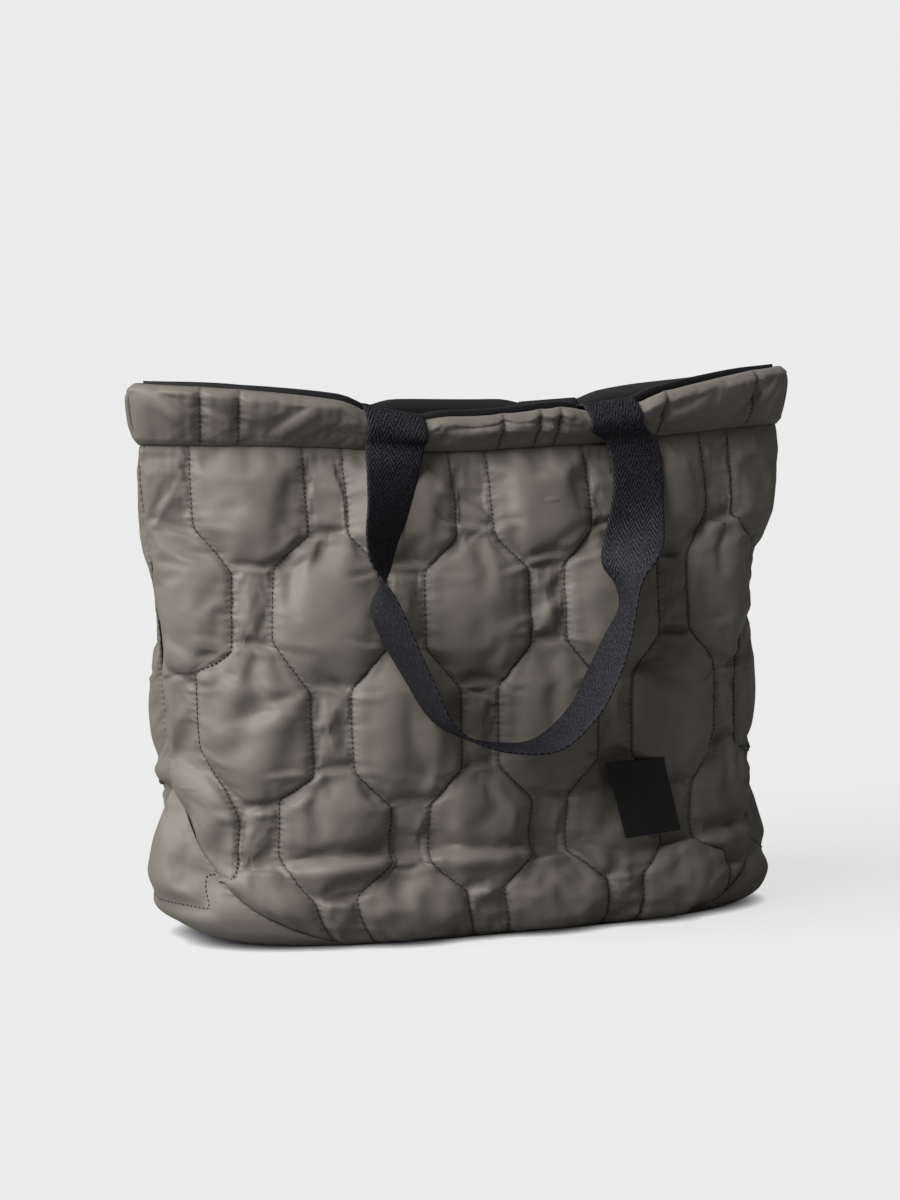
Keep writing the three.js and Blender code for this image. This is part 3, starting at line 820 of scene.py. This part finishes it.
def handle_stops(side, puff, band_puff):
    """Middles of the strap and directions across it, from one sewn tail to the other."""
    half = WEBBING_THICKNESS / 2
    inside = -(WALL + TAIL_GAP + half)
    swollen = max(puff, band_puff)

    def outside(share):
        return band_puff * share + STRAP_GAP + half

    def stop(along, z, stand, turn, slope):
        at = np.array([along])
        normal = wall_normals(side, at, z)[0]
        middle = wall_points(side, at, z, max(0, -stand))[0] + normal * max(0, stand)
        flat = np.array([side * normal[1], -side * normal[0], slope])
        flat /= np.linalg.norm(flat)
        angle = math.radians(turn)
        return middle, flat * math.cos(angle) - normal * math.sin(angle)

    def fold(place, turn):
        step = WEBBING_WIDTH / PANEL_WIDTH
        ends = rim_level(side, np.array([place - step, place, place + step]))
        slope = (ends[2] - ends[0]) / WEBBING_WIDTH
        rows = (
            (inside, TAIL_LENGTH),
            (inside, TAIL_LENGTH / 2),
            (inside, -WEBBING_THICKNESS),
            (mix(inside, outside(0.5), 0.5), -FOLD_RISE),
            (outside(1.12), WEBBING_THICKNESS),
            (outside(1.32), BAND_HEIGHT * 0.22),
        )
        return [stop(place, ends[1] - drop, stand, turn, slope) for stand, drop in rows]

    hanging = [
        stop(row.along, row.height * RIM_HEIGHT, swollen + row.stand * WEBBING_WIDTH, row.turn, 0)
        for row in HANDLE_HANG
    ]
    return fold(HANDLE_PLACES[0], 0) + hanging + fold(HANDLE_PLACES[1], 180)[::-1]


def strap(side, name, puff, band_puff):
    """A webbing handle, as one sheet along its route."""
    stops = handle_stops(side, puff, band_puff)
    route = [middle for middle, across in stops]
    spread = [across for middle, across in stops]
    rows = [(curve_point(route, i / STRAP_ROWS, True)[0], curve_point(spread, i / STRAP_ROWS, False)[0])
            for i in range(STRAP_ROWS + 1)]
    middles = np.array([middle for middle, width in rows])
    widths = np.array([width / np.linalg.norm(width) for middle, width in rows])
    runs = np.concatenate([[0], np.cumsum(np.linalg.norm(np.diff(middles, axis=0), axis=1))])

    def place(across, up):
        row = np.rint(up * STRAP_ROWS).astype(int)
        points = middles[row] + widths[row] * ((across - 0.5) * WEBBING_WIDTH)[:, None]
        return points, {"across": (across - 0.5) * WEBBING_WIDTH, "run": runs[row]}

    return bent_grid(name, STRAP_COLUMNS, STRAP_ROWS, place)


def surface_of(piece):
    """A search tree of a piece's outer faces as they stand."""
    mesh = piece.data
    corners = [vertex.co.copy() for vertex in mesh.vertices]
    return BVHTree.FromPolygons(corners, [tuple(face.vertices) for face in mesh.polygons])


def patch(name, cloth, rows=26, columns=24):
    """The bare label: a stiff patch that lies on the high places of the quilting."""
    surface = surface_of(cloth)

    def place(across, up):
        x = (across - 0.5) * LABEL_WIDTH
        rise = (up - 0.5) * LABEL_HEIGHT
        level = np.array([LABEL_LEVEL * RIM_HEIGHT])
        middle = wall_points(-1, np.array([LABEL_ALONG]), level)
        facing = wall_normals(-1, np.array([LABEL_ALONG]), level)
        sideways = np.cross([[0.0, 0.0, 1.0]], facing)
        sideways /= np.linalg.norm(sideways)
        upward = np.cross(facing, sideways)
        base = middle + (x + rise * LABEL_LEAN)[:, None] * sideways + rise[:, None] * upward
        outward = np.repeat(facing, len(x), axis=0)
        stand = np.zeros(len(base))
        for i in range(len(base)):
            start = Vector(base[i] + outward[i] * LABEL_SEARCH)
            hit = surface.ray_cast(start, Vector(-outward[i]), 2 * LABEL_SEARCH)
            stand[i] = LABEL_SEARCH - hit[3] if hit[0] else 0
        order = np.lexsort((across.round(5), up.round(5)))
        lowest = stand[order].reshape(rows + 1, columns + 1) + LABEL_GAP
        lying = lowest.copy()
        for _ in range(90):
            wide = np.pad(lying, 1, mode="edge")
            around = (wide[:-2, 1:-1] + wide[2:, 1:-1] + wide[1:-1, :-2] + wide[1:-1, 2:]) / 4
            lying = np.maximum(around, lowest)
        stand[order] = lying.ravel()
        flat = np.column_stack([np.ones_like(x), x, rise])
        stiff = flat @ np.linalg.lstsq(flat, stand, rcond=None)[0]
        cleared = np.zeros_like(stand)
        cleared[order] = lowest.ravel()
        stiff += 0.5 * max(0, np.max(cleared - stiff))
        stand = np.maximum(mix(stiff, stand, LABEL_GIVE), cleared)
        return base + outward * stand[:, None], {}

    return bent_grid(name, columns, rows, place)


def stitch_row(bm, points, outward, thread, length):
    """Lay stitches along a row of points, each a short bead of thread that stands half out.

    A bead covers STITCH_COVER of its stitch, and a gap the rest.
    """
    runs = np.concatenate([[0], np.cumsum(np.linalg.norm(np.diff(points, axis=0), axis=1))])
    for start in np.arange(length * 0.2, runs[-1] - length, length):
        ends = [
            Vector([np.interp(at, runs, points[:, axis]) for axis in range(3)])
            for at in (start, start + length * STITCH_COVER)
        ]
        normal = Vector([np.interp(start, runs, outward[:, axis]) for axis in range(3)]).normalized()
        along = ends[1] - ends[0]
        if along.length < 1e-5:
            continue
        made = bmesh.ops.create_icosphere(bm, subdivisions=1, radius=0.5)
        turn = along.to_track_quat("X", "Z").to_matrix().to_4x4()
        verts = made["verts"]
        bmesh.ops.scale(bm, vec=Vector((along.length, thread, thread)), verts=verts)
        bmesh.ops.transform(bm, matrix=turn, verts=verts)
        bmesh.ops.translate(bm, vec=(ends[0] + ends[1]) / 2 + normal * thread * 0.5, verts=verts)


def settle(surface, points):
    """Lay a row of points on the cloth as it stands."""
    return np.array([surface.find_nearest(Vector(point))[0] for point in points])


def groove(piece, line):
    """The points along one stitched groove of a piece, from the lowest up, and its normals."""
    near, edge, lines, order = (values_of(piece, key) for key in ("near", "edge", "line", "order"))
    along = np.flatnonzero((near < 1e-5) & (np.abs(lines - line) < 0.01) & (edge > 0.0025))
    along = along[np.argsort(order[along])]
    return points_of(piece)[along], normals_of(piece)[along]


def panel_stitches(side, name, panel, band, thread, length):
    """The stitching of a panel's quilted lines and of the band above it."""
    bm = bmesh.new()
    for line in range(1, CHANNELS):
        stitch_row(bm, *groove(panel, line), thread, length)
    for line in range(len(BAND_STITCHES)):
        stitch_row(bm, *groove(band, line), thread, length)
    if side < 0:
        base_stitches(bm, thread, length)
    return add_piece(name, bm)


def base_stitches(bm, thread, length):
    """The stitching of the base's two ends."""
    surface = surface_of(bpy.data.objects["padded_base"])
    count = 40
    run = np.linspace(0, len(BASE_STITCHES) - 1, count)
    knots = np.arange(len(BASE_STITCHES))
    climb = np.interp(run, knots, [each.climb for each in BASE_STITCHES])
    front = np.interp(run, knots, [each.across for each in BASE_STITCHES])
    for end in (-1, 1):
        up = front if end < 0 else 1 - front
        points = base_end_points(np.full(count, end), climb, up, bpy.context.scene.tote_sizes.base_puff)
        outward = np.tile([end, 0.0, 0.0], (count, 1))
        stitch_row(bm, settle(surface, points), outward, thread, length)


def new_material(name, inputs):
    """A node material, and its Principled shader with some plain inputs set."""
    material = bpy.data.materials.new(name)
    material.use_nodes = True
    shader = material.node_tree.nodes["Principled BSDF"]
    for key, value in inputs.items():
        shader.inputs[key].default_value = value
    return material, shader


def fill(tree, socket, value):
    """Wire an input to another node's output, or set it to a plain value."""
    if isinstance(value, bpy.types.NodeSocket):
        tree.links.new(value, socket)
    else:
        socket.default_value = value


def add_node(tree, kind, inputs=None, **options):
    """The outputs of a new shader node. Its inputs take plain values or other nodes' outputs."""
    node = tree.nodes.new("ShaderNode" + kind)
    for key, value in options.items():
        setattr(node, key, value)
    for key, value in (inputs or {}).items():
        fill(tree, node.inputs[key], value)
    return node.outputs


def add_math(tree, operation, *terms):
    return add_node(tree, "Math", dict(enumerate(terms)), operation=operation)[0]


def add_bump(tree, height, strength, distance, under=None):
    """The normal that a height gives, laid over the one under it."""
    inputs = {"Height": height, "Strength": strength, "Distance": distance}
    if under is not None:
        inputs["Normal"] = under
    return add_node(tree, "Bump", inputs)["Normal"]


def cloth_value(tree, key):
    """A value that the piece itself carries at each of its points."""
    return add_node(tree, "Attribute", attribute_name=key)["Fac"]


def slack_lines(tree, place, turn, stretch, keep):
    """Thin raised lines of slack cloth that run one way. Ridges below keep are cut."""
    turned = add_node(tree, "Mapping", {"Vector": place, "Rotation": turn, "Scale": stretch})["Vector"]
    ridges = add_node(
        tree,
        "TexNoise",
        {"Scale": 1, "Detail": 2.5, "Distortion": 0.7, "Vector": turned},
        noise_type="RIDGED_MULTIFRACTAL",
    )["Fac"]
    return add_node(tree, "MapRange", {"Value": ridges, "From Min": keep, "From Max": 1.4})["Result"]


def nylon(name, tint):
    """Padded nylon: fine ribbed cloth with a dull gloss, with painted shade along the stitched grooves."""
    material, shader = new_material(name, {
        "Base Color": (*tint, 1),
        "Roughness": 0.54,
        "Specular IOR Level": 0.32,
        "Sheen Weight": 0.06,
        "Sheen Roughness": 0.4,
    })
    tree = material.node_tree
    place = add_node(tree, "TexCoord")["Object"]
    near = cloth_value(tree, "near")
    patches = add_node(tree, "TexNoise", {"Vector": place, "Scale": 22, "Detail": 4})["Fac"]

    # Painted shade: the colour darkens close to a stitched line, where shade falls in the groove; the
    # random patches are the cloth's own tone.
    painted_groove_shade = add_node(tree, "MapRange", {"Value": near, "From Max": GROOVE_SHADE_REACH, "To Min": 0.55})
    tone = add_node(tree, "MapRange", {"Value": patches, "To Min": 0.9, "To Max": 1.08})
    shade = add_math(tree, "MULTIPLY", painted_groove_shade["Result"], tone["Result"])
    base_colour = add_node(tree, "VectorMath", {0: tint, "Scale": shade}, operation="SCALE")["Vector"]
    fill(tree, shader.inputs["Base Color"], base_colour)

    gathers = add_math(tree, "MULTIPLY", cloth_value(tree, "level"), 2 * math.pi / PUCKER_PITCH)
    wave = add_math(tree, "SINE", add_math(tree, "MULTIPLY_ADD", patches, 14, gathers))
    beside = add_node(
        tree,
        "MapRange",
        {"Value": near, "From Max": PUCKER_REACH, "To Min": 1, "To Max": 0},
        interpolation_type="SMOOTHSTEP",
    )["Result"]
    drawn = add_bump(tree, add_math(tree, "MULTIPLY", wave, beside), 0.4, 0.0004)

    slack = slack_lines(tree, place, (0.3, 0.25, 0), (15, 15, 44), 0.5)
    small = slack_lines(tree, place, (-0.2, -0.5, 0.4), (24, 24, 80), 0.75)
    creased = add_bump(tree, add_math(tree, "MULTIPLY_ADD", small, 0.45, slack), 1, 0.0052, drawn)
    ribs = add_node(
        tree,
        "TexWave",
        {"Vector": place, "Scale": 190, "Distortion": 1.2, "Detail": 2},
        wave_type="BANDS",
        bands_direction="Z",
    )["Fac"]
    fill(tree, shader.inputs["Normal"], add_bump(tree, ribs, 0.1, 0.0002, creased))
    return material


def webbing_cloth(name, tint):
    """Herringbone webbing: steep ribs that turn back from each lengthwise column to the next."""
    material, shader = new_material(name, {
        "Base Color": (*tint, 1),
        "Roughness": 0.72,
        "Specular IOR Level": 0.2,
    })
    tree = material.node_tree
    turned = add_math(tree, "PINGPONG", cloth_value(tree, "across"), WEAVE_COLUMN)
    slant = add_math(tree, "MULTIPLY_ADD", turned, 2, cloth_value(tree, "run"))
    wave = add_math(tree, "SINE", add_math(tree, "MULTIPLY", slant, 2 * math.pi / WEAVE_PITCH))
    place = add_node(tree, "TexCoord")["Object"]
    uneven = add_node(tree, "TexNoise", {"Vector": place, "Scale": 900, "Detail": 3})["Fac"]
    worn = add_math(tree, "MULTIPLY_ADD", uneven, 7, wave)
    yarn = add_node(
        tree,
        "MapRange",
        {"Value": worn, "From Min": 2.4, "From Max": 5.4, "To Min": 0.1, "To Max": 3.2},
    )["Result"]
    base_colour = add_node(tree, "VectorMath", {0: tint, "Scale": yarn}, operation="SCALE")["Vector"]
    fill(tree, shader.inputs["Base Color"], base_colour)
    fill(tree, shader.inputs["Normal"], add_bump(tree, wave, 0.5, 0.00025))
    return material


def cloth_grain():
    """The fine grain that the plain cloths share: a group that takes a scale and gives a normal."""
    if "cloth_grain" in bpy.data.node_groups:
        return bpy.data.node_groups["cloth_grain"]
    group = bpy.data.node_groups.new("cloth_grain", "ShaderNodeTree")
    group.interface.new_socket("Scale", in_out="INPUT", socket_type="NodeSocketFloat")
    group.interface.new_socket("Normal", in_out="OUTPUT", socket_type="NodeSocketVector")
    asked = group.nodes.new("NodeGroupInput")
    given = group.nodes.new("NodeGroupOutput")
    place = add_node(group, "TexCoord")["Object"]
    grain = add_node(group, "TexNoise", {"Vector": place, "Scale": asked.outputs["Scale"]})["Fac"]
    fill(group, given.inputs["Normal"], add_bump(group, grain, 0.4, 0.0003))
    return group


def plain_cloth(name, tint, roughness, scale):
    """A plain matt cloth with a fine grain."""
    material, shader = new_material(name, {"Base Color": (*tint, 1), "Roughness": roughness})
    tree = material.node_tree
    grain = add_node(tree, "Group", {"Scale": scale}, node_tree=cloth_grain())["Normal"]
    fill(tree, shader.inputs["Normal"], grain)
    return material


def camera_sees(tree, shown, others, output):
    """Give the camera one shader, and every other ray another."""
    seen = add_node(tree, "LightPath")["Is Camera Ray"]
    blend = add_node(tree, "MixShader", {"Fac": seen, 1: others, 2: shown})["Shader"]
    fill(tree, tree.nodes[output].inputs["Surface"], blend)


class TOTE_OT_padded_cloth(bpy.types.Operator):
    """Make the quilted panels, the base and the rim band, and fill them"""

    bl_idname = "tote.padded_cloth"
    bl_label = "Padded cloth"

    def execute(self, context):
        sizes = context.scene.tote_sizes
        shell = nylon("shell_nylon", context.scene.tote_colours.shell)
        made = {
            "front_panel": quilted_panel(-1, "quilted_front", sizes.puff),
            "back_panel": quilted_panel(1, "quilted_back", sizes.puff),
            "base_panel": base_panel("padded_base", sizes.base_puff),
            "front_band": rim_band(-1, "front_rim_band", sizes.band_puff),
            "back_band": rim_band(1, "back_rim_band", sizes.band_puff),
        }
        fill_padding([made["front_panel"], made["back_panel"]], pressure=3, slack=0.04)
        fill_padding([made["base_panel"], made["front_band"], made["back_band"]], pressure=1.2, slack=0.012)
        wrinkle(made["front_panel"], FRONT_FOLDS, corner_creases(3), sizes.pucker, 11, -1)
        wrinkle(made["back_panel"], FRONT_FOLDS, corner_creases(8), sizes.pucker, 21, 1)
        wrinkle(made["front_band"], BAND_FOLDS, [], sizes.pucker * 0.7, 31, -1)
        wrinkle(made["back_band"], BAND_FOLDS, [], sizes.pucker * 0.7, 41, 1)
        wrinkle(made["base_panel"], [], [], sizes.pucker * 0.4, 51)
        for node, piece in made.items():
            thicken(piece, WALL, levels=0)
            finish_piece(piece, shell, "shell", node)
        return {"FINISHED"}


class TOTE_OT_lining(bpy.types.Operator):
    """Make the black inner bag"""

    bl_idname = "tote.lining"
    bl_label = "Lining"

    def execute(self, context):
        cloth = plain_cloth("lining_cloth", context.scene.tote_colours.lining, 0.85, 900)
        piece = inner_bag("inner_bag")
        thicken(piece, LINING_CLOTH, levels=0)
        finish_piece(piece, cloth, "lining", "lining")
        return {"FINISHED"}


class TOTE_OT_handles(bpy.types.Operator):
    """Make the two webbing handles"""

    bl_idname = "tote.handles"
    bl_label = "Handles"

    def execute(self, context):
        sizes = context.scene.tote_sizes
        cloth = webbing_cloth("handle_webbing", context.scene.tote_colours.webbing)
        for side, node in ((-1, "front_handle"), (1, "back_handle")):
            piece = strap(side, node + "_strap", sizes.puff, sizes.band_puff)
            thicken(piece, WEBBING_THICKNESS, offset=0)
            finish_piece(piece, cloth, "webbing", node)
        return {"FINISHED"}


class TOTE_OT_label(bpy.types.Operator):
    """Make the bare label"""

    bl_idname = "tote.label"
    bl_label = "Label"

    def execute(self, context):
        cloth = plain_cloth("label_cloth", context.scene.tote_colours.label, 0.7, 1400)
        piece = patch("bare_label", bpy.data.objects["quilted_front"])
        thicken(piece, LABEL_CLOTH, offset=0)
        finish_piece(piece, cloth, "label", "label")
        return {"FINISHED"}


class TOTE_OT_stitches(bpy.types.Operator):
    """Sew the quilted lines"""

    bl_idname = "tote.stitches"
    bl_label = "Stitches"

    def execute(self, context):
        sizes = context.scene.tote_sizes
        cloth = plain_cloth("sewing_thread", context.scene.tote_colours.thread, 0.6, 3000)
        for side, name in ((-1, "front_stitches"), (1, "back_stitches")):
            which = name.split("_")[0]
            panel = bpy.data.objects["quilted_" + which]
            band = bpy.data.objects[which + "_rim_band"]
            piece = panel_stitches(side, name, panel, band, sizes.thread, sizes.stitch_length)
            finish_piece(piece, cloth, "shell")
        return {"FINISHED"}


class TOTE_OT_stage(bpy.types.Operator):
    """Set the pale floor, the soft light and the camera"""

    bl_idname = "tote.stage"
    bl_label = "Floor, light and camera"

    azimuth = math.radians(-25)
    elevation = math.radians(6.5)
    distance = 2.6
    target = Vector((0, 0, 0.203))
    key_from = Vector((-0.88, -0.215, 0.74))
    key_power = 4.5
    key_softness = math.radians(50)
    lens = 122.5
    sensor_width = 36
    shift = -0.015

    def execute(self, context):
        self.add_floor(context)
        self.add_world(context)
        self.add_key_light(context)
        self.add_camera(context)
        return {"FINISHED"}

    def add_floor(self, context):
        """A seamless floor: pale to the camera, with a painted contact shadow under the tote, and dimmer to
        what it lights.
        """
        bm = bmesh.new()
        bmesh.ops.create_grid(bm, x_segments=1, y_segments=1, size=20)
        floor = add_piece("floor", bm)
        material, shader = new_material("pale_floor", {
            "Base Color": (*context.scene.tote_colours.floor, 1),
            "Roughness": 1,
            "Specular IOR Level": 0,
            "Emission Strength": FLOOR_GLOW,
        })
        tree = material.node_tree
        # Painted contact shadow: the floor's glow is darkened by occlusion close under the tote.
        painted_contact_shadow = add_node(tree, "AmbientOcclusion", {"Distance": CONTACT_SHADOW_REACH}, samples=16)
        fill(tree, shader.inputs["Emission Color"], painted_contact_shadow["Color"])
        bounce = (FLOOR_BOUNCE, FLOOR_BOUNCE, FLOOR_BOUNCE, 1)
        unseen = add_node(tree, "BsdfDiffuse", {"Color": bounce})["BSDF"]
        camera_sees(tree, shader.outputs["BSDF"], unseen, "Material Output")
        floor.data.materials.append(material)

    def add_world(self, context):
        """An even backdrop for the camera, and a dimmer light all round for the tote."""
        world = bpy.data.worlds.new("studio")
        world.use_nodes = True
        tree = world.node_tree
        around = tree.nodes["Background"]
        around.inputs["Color"].default_value = (1, 1, 1, 1)
        around.inputs["Strength"].default_value = AMBIENT
        backdrop = add_node(tree, "Background", {"Color": (1, 1, 1, 1), "Strength": BACKDROP_TONE})
        camera_sees(tree, backdrop["Background"], around.outputs["Background"], "World Output")
        context.scene.world = world
        context.scene.view_settings.view_transform = "Standard"

    def add_key_light(self, context):
        """A broad soft light, high on the left."""
        data = bpy.data.lights.new("key_light", "SUN")
        data.energy = self.key_power
        data.angle = self.key_softness
        light = bpy.data.objects.new("key_light", data)
        light.rotation_euler = self.key_from.to_track_quat("Z", "Y").to_euler()
        context.scene.collection.objects.link(light)

    def add_camera(self, context):
        back = Vector((
            math.sin(self.azimuth) * math.cos(self.elevation),
            -math.cos(self.azimuth) * math.cos(self.elevation),
            math.sin(self.elevation),
        ))
        data = bpy.data.cameras.new("camera")
        data.lens = self.lens
        data.sensor_width = self.sensor_width
        data.shift_x = self.shift
        camera = bpy.data.objects.new("camera", data)
        camera.location = self.target + back * self.distance
        camera.rotation_euler = (-back).to_track_quat("-Z", "Y").to_euler()
        context.scene.collection.objects.link(camera)
        context.scene.camera = camera


class TOTE_PT_panel(bpy.types.Panel):
    """Lists the steps that dress the tote"""

    bl_idname = "TOTE_PT_panel"
    bl_label = "Quilted tote"
    bl_space_type = "VIEW_3D"
    bl_region_type = "UI"
    bl_category = "Quilted tote"

    def draw(self, context):
        for group in (context.scene.tote_sizes, context.scene.tote_colours):
            for key in group.__annotations__:
                self.layout.prop(group, key)
        for operator in OPERATORS:
            self.layout.operator(operator.bl_idname)


OPERATORS = (
    TOTE_OT_padded_cloth,
    TOTE_OT_lining,
    TOTE_OT_handles,
    TOTE_OT_label,
    TOTE_OT_stitches,
    TOTE_OT_stage,
)
CLASSES = (ToteSizes, ToteColours, *OPERATORS, TOTE_PT_panel)


def register():
    for each in CLASSES:
        bpy.utils.register_class(each)
    bpy.types.Scene.tote_sizes = bpy.props.PointerProperty(type=ToteSizes)
    bpy.types.Scene.tote_colours = bpy.props.PointerProperty(type=ToteColours)


def unregister():
    del bpy.types.Scene.tote_colours
    del bpy.types.Scene.tote_sizes
    for each in reversed(CLASSES):
        bpy.utils.unregister_class(each)


def main():
    register()
    bpy.ops.tote.padded_cloth()
    bpy.ops.tote.lining()
    bpy.ops.tote.handles()
    bpy.ops.tote.label()
    bpy.ops.tote.stitches()
    bpy.ops.tote.stage()


if __name__ == "__main__":
    main()
